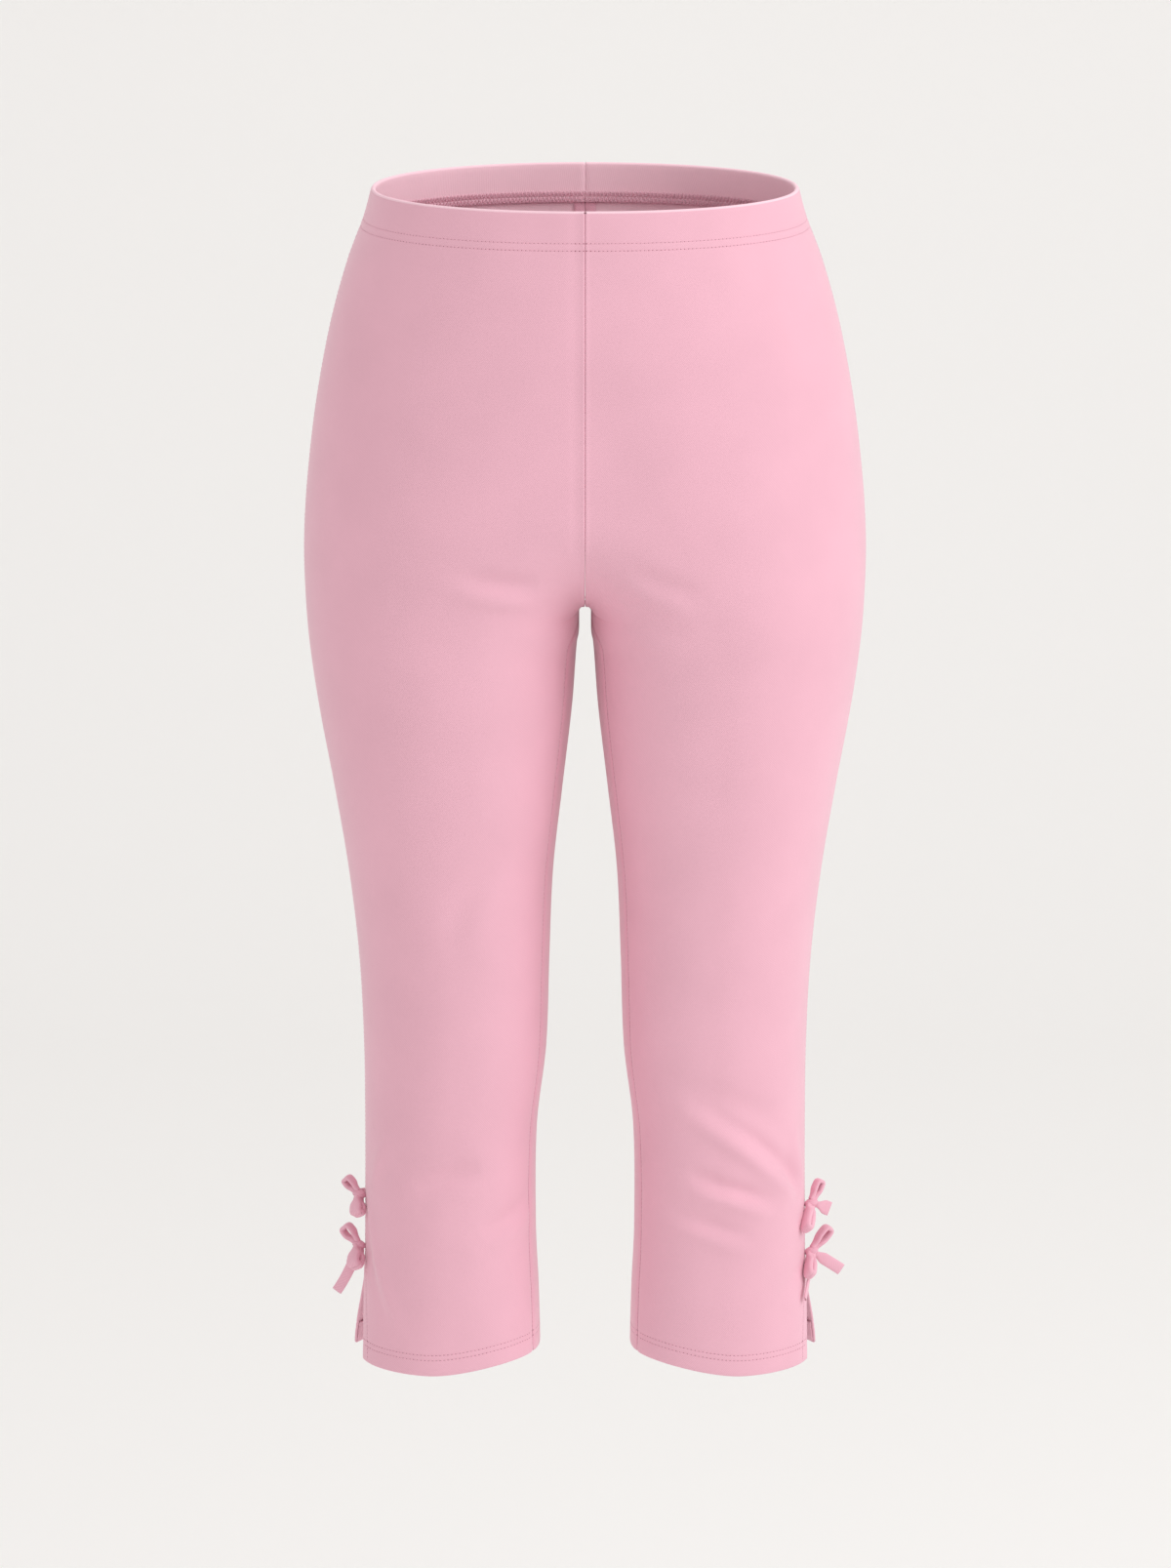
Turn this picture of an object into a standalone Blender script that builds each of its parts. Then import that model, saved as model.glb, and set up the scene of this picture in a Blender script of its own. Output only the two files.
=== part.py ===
"""Pull-on capri pants, filled out as they are worn, with a tied slit at the foot of each side seam.

The frame is in metres with +Z up. The origin is the middle of the waist opening, the front faces -Y, and the wearer's
left side is +X. "Left" and "right" in names are the wearer's.
"""
import math
from collections import namedtuple

import bmesh
import bpy
from mathutils import Matrix, Vector

NAME = "capri_pants"

# Driving dimensions
CLOTH = 0.0012            # wall of one panel
GAP = 0.0003              # clearance between neighbouring pieces
HEM_DROP = 0.7835         # waist to the bottom edge
CROTCH_DROP = 0.2740      # waist to the crotch point
FRONT_CURVE = 0.0700      # height of the crotch curve, front
BACK_CURVE = 0.1290       # height of the crotch curve, back
WAIST_TILT = 0.052        # rise of the waist edge per metre towards the back
TILT_FADE = 0.15          # the tilt dies out at this drop
CASING_DEPTH = 0.0275     # turned-in waist edge with its elastic
CASING_WALL = 0.0020
HEM_DEPTH = 0.0160        # turned-up leg hem
HEM_WALL = 0.0010
SLIT_DROP = 0.6550        # top of the side slit
SLIT_FRONT = 0.0150       # how far the front edge stands back from the side line at the hem
SLIT_FRONT_FLARE = 0.0020 # how far the front edge stands off outwards at the hem
SLIT_BACK = 0.0220        # the same for the back edge
SLIT_FLARE = 0.0110       # how far the back edge kicks outwards at the hem
SLIT_TIED = 0.7100        # the slit is tied shut above this drop
SLIT_EDGE = 0.0065        # width of the turned edge of the slit
EDGE_WALL = 0.0010
EDGE_CLEAR = 0.0008       # clearance between the panel and its turned slit edge, where it kicks out
BRIDGE_ROUND = 0.0032     # height over which the crotch rounds into the inner legs
INSEAM_SHARE = 0.48       # the inseam's place between the leg's innermost line and its front
INSEAM_RUN = 0.022        # height over which the inseam comes forward below the crotch
ARCH_WIDTH = 0.0038       # half the width of the crotch arch where it meets the inner legs
INNER_FADE = 0.012        # height over which the inner legs start to part
HEM_RISE = 0.0092         # the hem is this much higher at the inseam
HEM_RISE_TOP = 0.62       # the rows above this drop stay level

TIE_WIDTH = 0.0068        # flat tie of turned cloth
TIE_PINCH = 0.0042        # its width where the knot gathers it
TIE_THICK = 0.0018
KNOT_RADIUS = 0.0040

# Widths and depths of one half of the garment, from the waist down
Section = namedtuple("Section", "drop outer inner front back front_crest back_crest middle")
SECTIONS = [
    Section(0.000, 0.1365, 0.0000, 0.0975, 0.0975, 0.000, 0.000, 0.000),
    Section(0.020, 0.1419, 0.0000, 0.0995, 0.1005, 0.003, 0.004, 0.000),
    Section(0.050, 0.1530, 0.0000, 0.1030, 0.1060, 0.008, 0.014, 0.000),
    Section(0.090, 0.1641, 0.0000, 0.1060, 0.1145, 0.016, 0.032, 0.000),
    Section(0.141, 0.1738, 0.0000, 0.1075, 0.1245, 0.030, 0.056, 0.000),
    Section(0.192, 0.1800, 0.0000, 0.1070, 0.1305, 0.048, 0.072, 0.000),
    Section(0.230, 0.1824, 0.0000, 0.1045, 0.1275, 0.066, 0.082, 0.000),
    Section(0.260, 0.1821, 0.0000, 0.1015, 0.1170, 0.080, 0.088, 0.000),
    Section(0.295, 0.1799, 0.0048, 0.0975, 0.1020, 0.090, 0.092, 0.000),
    Section(0.340, 0.1738, 0.0083, 0.0925, 0.0935, 0.091, 0.091, 0.000),
    Section(0.395, 0.1640, 0.0147, 0.0850, 0.0850, 0.090, 0.090, 0.000),
    Section(0.450, 0.1553, 0.0208, 0.0770, 0.0780, 0.088, 0.088, 0.001),
    Section(0.510, 0.1487, 0.0234, 0.0700, 0.0720, 0.086, 0.086, 0.001),
    Section(0.570, 0.1460, 0.0255, 0.0645, 0.0685, 0.086, 0.086, 0.002),
    Section(0.625, 0.1457, 0.0318, 0.0600, 0.0650, 0.088, 0.088, 0.003),
    Section(0.700, 0.1463, 0.0326, 0.0565, 0.0600, 0.089, 0.089, 0.002),
    Section(0.745, 0.1470, 0.0308, 0.0560, 0.0575, 0.089, 0.089, 0.001),
    Section(0.790, 0.1480, 0.0297, 0.0560, 0.0560, 0.089, 0.089, 0.000),
]
ROUNDNESS = 2.12          # 2 is an ellipse, more is squarer
INNER_LEG_ROUNDNESS = 2.5
SADDLE = 4                # how squarely the cloth crosses the centre seam above the crotch

# Drops of the rows of the panel grids outside the crotch curve
TORSO_ROWS = [0.0, 0.014, 0.0275, 0.055, 0.085, 0.115, 0.145, 0.175]
CURVE_STEPS = 6
LEG_ROWS = [0.2752, 0.279, 0.286, 0.296, 0.325, 0.360, 0.400, 0.440, 0.480, 0.515, 0.545, 0.572, 0.595,
            0.615, 0.635, 0.655, 0.675, 0.692, 0.708, 0.728, 0.748, 0.7675, HEM_DROP]
EDGE_SHARE = 0.012        # share of a section taken by its narrow edge columns
COLUMNS = 11
CREST_SHARE = 0.46        # share of the columns between the inner seam and the crest of the thigh
CREST_POINT = 40          # points of a section's curve before its crest

# Largest soft troughs at the knees: share of the way from the inner seam to the side, and drop, at each end
Fold = namedtuple("Fold", "side face share_a drop_a share_b drop_b width depth")
FOLDS = [
    Fold("left", "front", 0.30, 0.600, 0.80, 0.650, 0.010, 0.0022),
    Fold("left", "front", 0.40, 0.582, 0.86, 0.628, 0.010, 0.0018),
    Fold("left", "front", 0.24, 0.628, 0.66, 0.672, 0.010, 0.0014),
    Fold("right", "front", 0.32, 0.668, 0.66, 0.640, 0.011, 0.0014),
    Fold("left", "back", 0.20, 0.520, 0.75, 0.545, 0.013, 0.0024),
    Fold("right", "back", 0.22, 0.528, 0.78, 0.508, 0.013, 0.0024),
]

# Tie bows: drop of each knot, its place in front of the side line, and where its loops and tails point
KNOT_DROPS = {"left_upper": 0.6788, "left_lower": 0.7118, "right_upper": 0.6726, "right_lower": 0.7073}
KNOT_FORWARD = 0.006
Strip = namedtuple("Strip", "bow piece out forward up length opening twist")
STRIPS = [
    Strip("left_upper", "loop_back", 0.40, -0.30, 0.87, 0.0129, 0.0052, 0),
    Strip("left_upper", "loop_front", -0.12, 0.90, -0.42, 0.0205, 0.0060, 0),
    Strip("left_upper", "tail_front", 0.95, 0.05, -0.28, 0.0085, 0, 80),
    Strip("left_upper", "tail_back", -0.06, -0.84, -0.54, 0.022, 0, 0),
    Strip("left_lower", "loop_back", 0.60, -0.20, 0.77, 0.0162, 0.0066, 0),
    Strip("left_lower", "loop_front", 0.02, 0.98, -0.18, 0.0170, 0.0070, 0),
    Strip("left_lower", "tail_front", -0.03, 0.40, -0.92, 0.029, 0, 0),
    Strip("left_lower", "tail_back", 0.84, -0.08, -0.53, 0.0197, 0, 75),
    Strip("right_upper", "loop_back", 0.62, -0.28, 0.73, 0.0096, 0.0062, 0),
    Strip("right_upper", "loop_front", 0.03, 0.68, -0.73, 0.0120, 0.0084, 0),
    Strip("right_upper", "tail_front", -0.06, -0.62, -0.78, 0.015, 0, 0),
    Strip("right_upper", "tail_back", -0.06, -0.99, 0.10, 0.020, 0, 0),
    Strip("right_lower", "loop_back", 0.62, -0.25, 0.74, 0.0112, 0.0075, 0),
    Strip("right_lower", "loop_front", 0.12, 0.86, -0.50, 0.0142, 0.0090, 0),
    Strip("right_lower", "tail_front", 0.40, 0.02, -0.92, 0.0305, 0, 75),
    Strip("right_lower", "tail_back", -0.06, -0.90, -0.43, 0.022, 0, 0),
]

SIDES = {"left": 1, "right": -1}
FACES = {"front": -1, "back": 1}

PINK = (0.86, 0.55, 0.62, 1.0)
PINK_INSIDE = (0.62, 0.36, 0.43, 1.0)
PINK_TIE = (0.84, 0.52, 0.60, 1.0)


def clear_scene():
    for item in list(bpy.data.objects):
        bpy.data.objects.remove(item, do_unlink=True)


def make_collection():
    collection = bpy.data.collections.new(NAME)
    bpy.context.scene.collection.children.link(collection)
    return collection


def cloth_material(name, colour):
    material = bpy.data.materials.new(name)
    material.use_nodes = True
    shader = material.node_tree.nodes["Principled BSDF"]
    shader.inputs["Base Color"].default_value = colour
    shader.inputs["Roughness"].default_value = 0.85
    shader.inputs["Metallic"].default_value = 0.0
    return material


def smoothstep(value):
    value = min(1.0, max(0.0, value))
    return value * value * (3.0 - 2.0 * value)


def section_at(drop):
    """Interpolate the section table with a smooth curve through its rows."""
    drop = min(max(drop, SECTIONS[0].drop), SECTIONS[-1].drop)
    low = max(i for i, row in enumerate(SECTIONS) if row.drop <= drop)
    low = min(low, len(SECTIONS) - 2)
    before, start, end, after = (SECTIONS[min(max(low + k, 0), len(SECTIONS) - 1)] for k in (-1, 0, 1, 2))
    t = (drop - start.drop) / (end.drop - start.drop)
    values = []
    for a, b, c, d in zip(before, start, end, after):
        slope_b = (c - a) / max(end.drop - before.drop, 1e-6)
        slope_c = (d - b) / max(after.drop - start.drop, 1e-6)
        span = end.drop - start.drop
        values.append((2 * t**3 - 3 * t**2 + 1) * b + (t**3 - 2 * t**2 + t) * span * slope_b
                      + (3 * t**2 - 2 * t**3) * c + (t**3 - t**2) * span * slope_c)
    return Section(*values)


def seam_reach(drop, reach, curve_height, power):
    """Depth of the centre seam: the full reach above the crotch curve, none at the crotch point."""
    t = (drop - (CROTCH_DROP - curve_height)) / curve_height
    if t <= 0:
        return reach
    return reach * max(0.0, 1.0 - min(t, 1.0)**power)**(1.0 / power)


def half_section(drop, face):
    """Points of one quarter of the garment at a drop, from its inner seam round to the side line."""
    row = section_at(drop)
    inner = GAP / 2 + row.inner * smoothstep((drop - CROTCH_DROP) / INNER_FADE)
    t = min(1.0, max(0.0, (drop - CROTCH_DROP) / BRIDGE_ROUND))
    arch = max(0.0, ARCH_WIDTH - inner) * math.sqrt(1 - (1 - t)**2)
    middle = FACES[face] * row.middle
    if face == "front":
        reach, crest = row.front, row.front_crest
        seam = seam_reach(drop, reach, FRONT_CURVE, 2.05)
    else:
        reach, crest = row.back, row.back_crest
        seam = seam_reach(drop, reach, BACK_CURVE, 3.0)
    if drop >= CROTCH_DROP:
        seam = middle
    crest = max(crest, inner)
    held = ((seam - middle) / (reach - middle))**SADDLE
    points = []
    for k in range(CREST_POINT):
        a = k / CREST_POINT * math.pi / 2
        x = inner + (crest - inner) * (1 - math.cos(a)**(2 / INNER_LEG_ROUNDNESS)) + arch * math.cos(a)**8
        leg = math.sin(a)**(2 * SADDLE / INNER_LEG_ROUNDNESS)
        points.append((x, middle + (reach - middle) * (leg + held * (1 - leg))**(1 / SADDLE)))
    for k in range(61):
        a = k / 60 * math.pi / 2
        x = crest + (row.outer - crest) * math.sin(a)**(2 / ROUNDNESS)
        points.append((x, middle + (reach - middle) * max(0.0, math.cos(a))**(2 / ROUNDNESS)))
    return [(x, FACES[face] * y) for x, y in points]


def slit_open(drop):
    """0 where the slit is tied shut, 1 at the hem."""
    t = (drop - SLIT_TIED) / (HEM_DROP - SLIT_TIED)
    return math.sin(math.pi / 2 * min(1.0, max(0.0, t)))


def slit_flare(drop):
    """How far the back edge kicks out, slowly at first."""
    return SLIT_FLARE * smoothstep((drop - SLIT_TIED - 0.006) / (HEM_DROP - SLIT_TIED - 0.006))


def hem_rise(drop, x):
    """How much higher a point of the leg is because the hem climbs towards the inseam."""
    row = section_at(drop)
    middle = (row.inner + row.outer) / 2
    share = min(1.0, max(0.0, (middle - x) / (middle - row.inner)))
    climb = (math.sin(math.pi / 2 * share) + smoothstep(share)) / 2
    return HEM_RISE * climb * smoothstep((drop - HEM_RISE_TOP) / (HEM_DROP - HEM_RISE_TOP))


def fold_depth(side, face, share, drop, length):
    depth = 0.0
    for fold in FOLDS:
        if fold.side != side or fold.face != face:
            continue
        ax, az = fold.share_a * length, fold.drop_a
        bx, bz = fold.share_b * length, fold.drop_b
        px, pz = share * length, drop
        run = (bx - ax)**2 + (bz - az)**2
        t = ((px - ax) * (bx - ax) + (pz - az) * (bz - az)) / run
        near = min(1.0, max(0.0, t))
        away = math.hypot(px - ax - near * (bx - ax), pz - az - near * (bz - az))
        depth += fold.depth * math.exp(-(away / fold.width)**2) * math.sin(math.pi * (0.1 + 0.8 * near))
    return depth


def shares():
    """Each column's share of the way from the inner seam to the side, with a narrow column at each edge."""
    inner = [EDGE_SHARE + (1 - 2 * EDGE_SHARE) * k / (COLUMNS - 2) for k in range(COLUMNS - 1)]
    return [0.0] + inner + [1.0]


def column_place(share, drop, to_crest, whole):
    """Distance of a column along its row. Low down, the columns hold on to the crest of the thigh."""
    if share < CREST_SHARE:
        held = to_crest * share / CREST_SHARE
    else:
        held = to_crest + (whole - to_crest) * (share - CREST_SHARE) / (1 - CREST_SHARE)
    grip = smoothstep((drop - 0.10) / 0.10)
    return share * whole + grip * (held - share * whole)


def inseam_shift(drop):
    """How far forward of the leg's innermost line the inseam runs, along the section's curve."""
    if drop <= CROTCH_DROP:
        return 0.0
    share = INSEAM_SHARE * math.sin(math.pi / 2 * min(1.0, (drop - CROTCH_DROP) / INSEAM_RUN))
    row = section_at(drop)
    goal = row.middle - share * (row.front + row.middle)
    curve = half_section(drop, "front")
    length = 0.0
    for (x0, y0), (x1, y1) in zip(curve, curve[1:]):
        step = math.hypot(x1 - x0, y1 - y0)
        if y1 <= goal:
            return length + step * (goal - y0) / (y1 - y0)
        length += step
    return length


def panel_row(side, face, drop):
    """One row of a panel's grid, from its inner edge to its side edge."""
    curve = half_section(drop, face)
    crest_point = CREST_POINT
    shift = inseam_shift(drop)
    if face == "back" and shift > 0:
        lead = half_section(drop, "front")[CREST_POINT - 1:0:-1]
        curve = lead + curve
        crest_point += len(lead)
    lengths = [0.0]
    for (x0, y0), (x1, y1) in zip(curve, curve[1:]):
        lengths.append(lengths[-1] + math.hypot(x1 - x0, y1 - y0))
    start = GAP / 2 if drop >= CROTCH_DROP else 0.0
    if face == "front":
        start += shift
    elif shift > 0:
        start += lengths[crest_point - CREST_POINT] - shift
    opened = slit_open(drop)
    stand_back = SLIT_FRONT if face == "front" else SLIT_BACK
    end = lengths[-1] - GAP / 2 - stand_back * opened
    whole = end - start
    row = section_at(drop)
    centre = Vector(((row.inner + row.outer) / 2, row.middle))
    tilt = WAIST_TILT * (1 - smoothstep(drop / TILT_FADE))
    to_crest = lengths[crest_point] - start
    points = []
    for share in shares():
        target = start + column_place(share, drop, to_crest, whole)
        k = max(i for i, value in enumerate(lengths[:-1]) if value <= target)
        step = lengths[k + 1] - lengths[k]
        t = (target - lengths[k]) / step if step > 0 else 0.0
        point = Vector(curve[k]).lerp(Vector(curve[k + 1]), t)
        inward = (centre - point).normalized()
        point += inward * fold_depth(side, face, share, drop, whole)
        if face == "back":
            point.x += slit_flare(drop) * smoothstep((share - 0.72) / 0.28)
        else:
            point.x += SLIT_FRONT_FLARE * opened * smoothstep((share - 0.72) / 0.28)
        height = tilt * point.y + hem_rise(drop, point.x)
        points.append(Vector((SIDES[side] * point.x, point.y, height - drop)))
    return points


def row_drops():
    curve = []
    for k in range(CURVE_STEPS + 1):
        curve.append(CROTCH_DROP - FRONT_CURVE * (1 - math.sin(math.pi / 2 * k / CURVE_STEPS)))
    return TORSO_ROWS + curve + LEG_ROWS


def grid_mesh(name, rows, flip):
    """A smooth open sheet through a grid of points."""
    sheet = bmesh.new()
    grid = [[sheet.verts.new(point) for point in row] for row in rows]
    for upper, lower in zip(grid, grid[1:]):
        for k in range(len(upper) - 1):
            corners = [upper[k], lower[k], lower[k + 1], upper[k + 1]]
            if flip:
                corners.reverse()
            sheet.faces.new(corners)
    mesh = bpy.data.meshes.new(name)
    sheet.to_mesh(mesh)
    sheet.free()
    mesh.shade_smooth()
    return mesh


def add_object(collection, name, mesh, material):
    piece = bpy.data.objects.new(name, mesh)
    piece.data.materials.append(material)
    collection.objects.link(piece)
    return piece


def thicken(piece, wall, offset=-1.0):
    """Give a sheet its wall. An offset of -1 puts the whole wall inside the sheet."""
    solidify = piece.modifiers.new("wall", "SOLIDIFY")
    solidify.thickness = wall
    solidify.offset = offset


def faces_inwards(side, face):
    """Whether the grid's own winding faces into the garment and needs to be turned round."""
    return SIDES[side] * FACES[face] > 0


def moved_in(rows, side, face, depth):
    """The same rows, moved towards the inside of the garment by a depth along the cloth's own normals."""
    mesh = grid_mesh("scratch", rows, faces_inwards(side, face))
    width = len(rows[0])
    normals = [vertex.normal.copy() for vertex in mesh.vertices]
    bpy.data.meshes.remove(mesh)
    return [[point - normals[i * width + k] * depth for k, point in enumerate(row)] for i, row in enumerate(rows)]


def add_panel(collection, side, face):
    name = face + "_" + side
    rows = [panel_row(side, face, drop) for drop in row_drops()]
    mesh = grid_mesh(name, rows, faces_inwards(side, face))
    piece = add_object(collection, name, mesh, cloth_material(name + "_cloth", PINK))
    thicken(piece, CLOTH)


def add_band(collection, prefix, side, face, drops, wall):
    """A turned layer that lines the panel between two drops."""
    name = prefix + "_" + face + "_" + side
    rows = [panel_row(side, face, drop) for drop in drops]
    rows = moved_in(rows, side, face, CLOTH + GAP)
    mesh = grid_mesh(name, rows, faces_inwards(side, face))
    piece = add_object(collection, name, mesh, cloth_material(name + "_cloth", PINK_INSIDE))
    thicken(piece, wall)


def add_slit_edge(collection, side, face):
    """The turned edge of a side slit, inside the panel, from the slit's top to the leg hem."""
    name = "slit_edge_" + face + "_" + side
    bottom = HEM_DROP - HEM_DEPTH - EDGE_CLEAR
    drops = [drop for drop in row_drops() if SLIT_DROP <= drop < bottom] + [bottom]
    rows = []
    for drop in drops:
        row = panel_row(side, face, drop)
        along = (row[-2] - row[-3]).normalized()
        edge, next_in = row[-1], row[-2]
        span = (edge - next_in).length
        rows.append([next_in - along * (SLIT_EDGE - span), next_in, edge])
    rows = moved_in(rows, side, face, CLOTH + EDGE_CLEAR)
    mesh = grid_mesh(name, rows, faces_inwards(side, face))
    piece = add_object(collection, name, mesh, cloth_material(name + "_cloth", PINK_INSIDE))
    thicken(piece, EDGE_WALL)


def knot_centre(bow):
    drop = KNOT_DROPS[bow]
    row = section_at(drop)
    across = KNOT_FORWARD / (row.front + row.middle)
    x = row.front_crest + (row.outer - row.front_crest) * (1 - across**ROUNDNESS)**(1 / ROUNDNESS)
    side = SIDES[bow.split("_")[0]]
    return Vector((side * (x + GAP + 1.01 * KNOT_RADIUS), row.middle - KNOT_FORWARD, -drop))


def add_knot(collection, bow):
    name = "knot_" + bow
    ball = bmesh.new()
    bmesh.ops.create_uvsphere(ball, u_segments=12, v_segments=8, radius=KNOT_RADIUS)
    bmesh.ops.translate(ball, verts=ball.verts, vec=knot_centre(bow))
    mesh = bpy.data.meshes.new(name)
    ball.to_mesh(mesh)
    ball.free()
    mesh.shade_smooth()
    add_object(collection, name, mesh, cloth_material(name + "_cloth", PINK_TIE))


def strip_axes(strip):
    """Direction, opening axis and width axis of a loop or tail."""
    side = SIDES[strip.bow.split("_")[0]]
    along = Vector((side * strip.out, -strip.forward, strip.up)).normalized()
    outward = Vector((side, 0, 0))
    spread = (outward - along * outward.dot(along)).normalized()
    spread = Matrix.Rotation(math.radians(side * strip.twist), 3, along) @ spread
    return along, spread, along.cross(spread)


def smooth_path(points, steps):
    """A curve through a few points, as a list of points."""
    path = []
    for k in range(len(points) - 1):
        a, b, c, d = (points[min(max(k + j, 0), len(points) - 1)] for j in (-1, 0, 1, 2))
        for i in range(steps):
            t = i / steps
            path.append(0.5 * (2 * b + (c - a) * t + (2 * a - 5 * b + 4 * c - d) * t**2
                               + (3 * b - a - 3 * c + d) * t**3))
    path.append(points[-1])
    return path


def add_strip(collection, strip):
    """A loop (with an opening) or a cut tail (without) of flat tie, starting at its knot."""
    name = strip.piece + "_" + strip.bow
    along, spread, across = strip_axes(strip)
    centre = knot_centre(strip.bow)
    start = KNOT_RADIUS + GAP
    if strip.opening:
        half = strip.opening / 2
        strand = TIE_THICK / 2 + GAP
        out = [(start, strand), (start + 0.36 * strip.length, 0.82 * half), (start + 0.70 * strip.length, half),
               (start + 0.93 * strip.length, 0.62 * half)]
        profile = out + [(start + strip.length, 0.0)] + [(a, -b) for a, b in reversed(out)]
        steps = 2
    else:
        profile = [(start, 0.0), (start + 0.35 * strip.length, 0.0006), (start + 0.7 * strip.length, 0.0004),
                   (start + strip.length, 0.0)]
        steps = 2
    path = smooth_path([Vector(pair) for pair in profile], steps)
    rows = []
    for a, b in path:
        width = TIE_PINCH + (TIE_WIDTH - TIE_PINCH) * smoothstep((a - start) / 0.006)
        point = centre + along * a + spread * b
        rows.append([point - across * width / 2, point + across * width / 2])
    mesh = grid_mesh(name, rows, False)
    piece = add_object(collection, name, mesh, cloth_material(name + "_cloth", PINK_TIE))
    thicken(piece, TIE_THICK, 0.0)


def build():
    clear_scene()
    collection = make_collection()
    for side in SIDES:
        for face in FACES:
            add_panel(collection, side, face)
            add_band(collection, "casing", side, face, [0.0012, 0.0155, CASING_DEPTH], CASING_WALL)
            add_band(collection, "hem", side, face, [HEM_DROP - HEM_DEPTH, HEM_DROP - 0.0008], HEM_WALL)
            add_slit_edge(collection, side, face)
    for bow in KNOT_DROPS:
        add_knot(collection, bow)
    for strip in STRIPS:
        add_strip(collection, strip)


build()
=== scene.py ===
"""Looks of the pull-on capri pants: fine cloth shells, seams, stitches, tie bows, light and camera.

Metres, +Z up, front to -Y, the wearer's left to +X, origin in the middle of the waist opening.
"Left" and "right" are the wearer's.
"""
import math
from collections import namedtuple

import bmesh
import bpy
import numpy as np
from mathutils import Matrix, Vector


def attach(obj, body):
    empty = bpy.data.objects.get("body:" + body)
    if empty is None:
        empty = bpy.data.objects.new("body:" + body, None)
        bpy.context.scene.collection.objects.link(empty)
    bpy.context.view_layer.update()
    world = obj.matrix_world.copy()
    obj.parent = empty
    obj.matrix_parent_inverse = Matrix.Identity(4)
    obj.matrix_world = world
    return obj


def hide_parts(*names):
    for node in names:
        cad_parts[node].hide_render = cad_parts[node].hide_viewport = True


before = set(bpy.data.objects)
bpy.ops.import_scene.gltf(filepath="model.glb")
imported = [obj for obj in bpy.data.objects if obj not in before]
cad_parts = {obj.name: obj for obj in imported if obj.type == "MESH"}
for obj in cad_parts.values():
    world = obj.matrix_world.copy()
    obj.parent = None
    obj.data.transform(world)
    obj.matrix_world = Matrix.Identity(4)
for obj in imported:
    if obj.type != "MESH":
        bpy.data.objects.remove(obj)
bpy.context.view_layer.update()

# ---------------------------------------------------------------- sizes, the solids' own except INNER_FADE
GAP = 0.0003                  # between neighbouring solids
HEM_DROP = 0.7835             # from the waist edge down to the leg's bottom edge at the side
CROTCH_DROP = 0.2740
FRONT_CURVE = 0.0700          # height of the front crotch curve
FRONT_CURVE_POWER = 2.05
BACK_CURVE = 0.1290           # height of the back crotch curve
BACK_CURVE_POWER = 3.0
WAIST_TILT = 0.052            # rise of the waist edge for each metre towards the back
TILT_FADE = 0.15              # drop at which the tilt has died out
SLIT_TIED = 0.7100            # drop down to which the slit is tied shut
SLIT_FRONT = 0.0150           # how far the slit's front edge stands back from the side line at the hem
SLIT_FRONT_FLARE = 0.0020     # how far the front edge kicks out there
SLIT_BACK = 0.0220            # the same two for the back edge
SLIT_FLARE = 0.0110
BRIDGE_ROUND = 0.0032         # depth of the rounded top of the gap between the legs
ARCH_WIDTH = 0.0038           # half the width of that gap just under its top
INNER_FADE = 0.024            # drop over which the inner sides of the legs part (0.012 in the solids)
INSEAM_SHARE = 0.48           # how far forward the inseam runs, as a share of the leg's front half
INSEAM_RUN = 0.022            # drop over which it gets there from the crotch
HEM_RISE = 0.0092             # how much higher the hem is at the inseam
HEM_RISE_TOP = 0.62           # drop from which that rise starts
ROUNDNESS = 2.12              # power of the section's outer arcs
INNER_LEG_ROUNDNESS = 2.5     # power of its inner arcs, across
SADDLE = 4                    # power of its inner arcs, front to back
CREST_SHARE = 0.46            # share of a panel's columns between its inner seam and its crest
KNOT_DROPS = {"left_upper": 0.6788, "left_lower": 0.7118, "right_upper": 0.6726, "right_lower": 0.7073}
KNOT_FORWARD = 0.006          # how far in front of the side line the knots sit
KNOT_RADIUS = 0.0040

# One row for each drop: half widths, depths and crests of the section, all from the middle of the garment.
Section = namedtuple("Section", "drop outer inner front back front_crest back_crest middle")
SECTIONS = [
    Section(0.000, 0.1365, 0.0000, 0.0975, 0.0975, 0.000, 0.000, 0.000),
    Section(0.020, 0.1419, 0.0000, 0.0995, 0.1005, 0.003, 0.004, 0.000),
    Section(0.050, 0.1530, 0.0000, 0.1030, 0.1060, 0.008, 0.014, 0.000),
    Section(0.090, 0.1641, 0.0000, 0.1060, 0.1145, 0.016, 0.032, 0.000),
    Section(0.141, 0.1738, 0.0000, 0.1075, 0.1245, 0.030, 0.056, 0.000),
    Section(0.192, 0.1800, 0.0000, 0.1070, 0.1305, 0.048, 0.072, 0.000),
    Section(0.230, 0.1824, 0.0000, 0.1045, 0.1275, 0.066, 0.082, 0.000),
    Section(0.260, 0.1821, 0.0000, 0.1015, 0.1170, 0.080, 0.088, 0.000),
    Section(0.295, 0.1799, 0.0048, 0.0975, 0.1020, 0.090, 0.092, 0.000),
    Section(0.340, 0.1738, 0.0083, 0.0925, 0.0935, 0.091, 0.091, 0.000),
    Section(0.395, 0.1640, 0.0147, 0.0850, 0.0850, 0.090, 0.090, 0.000),
    Section(0.450, 0.1553, 0.0208, 0.0770, 0.0780, 0.088, 0.088, 0.001),
    Section(0.510, 0.1487, 0.0234, 0.0700, 0.0720, 0.086, 0.086, 0.001),
    Section(0.570, 0.1460, 0.0255, 0.0645, 0.0685, 0.086, 0.086, 0.002),
    Section(0.625, 0.1457, 0.0318, 0.0600, 0.0650, 0.088, 0.088, 0.003),
    Section(0.700, 0.1463, 0.0326, 0.0565, 0.0600, 0.089, 0.089, 0.002),
    Section(0.745, 0.1470, 0.0308, 0.0560, 0.0575, 0.089, 0.089, 0.001),
    Section(0.790, 0.1480, 0.0297, 0.0560, 0.0560, 0.089, 0.089, 0.000),
]
TABLE = np.array(SECTIONS)
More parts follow.
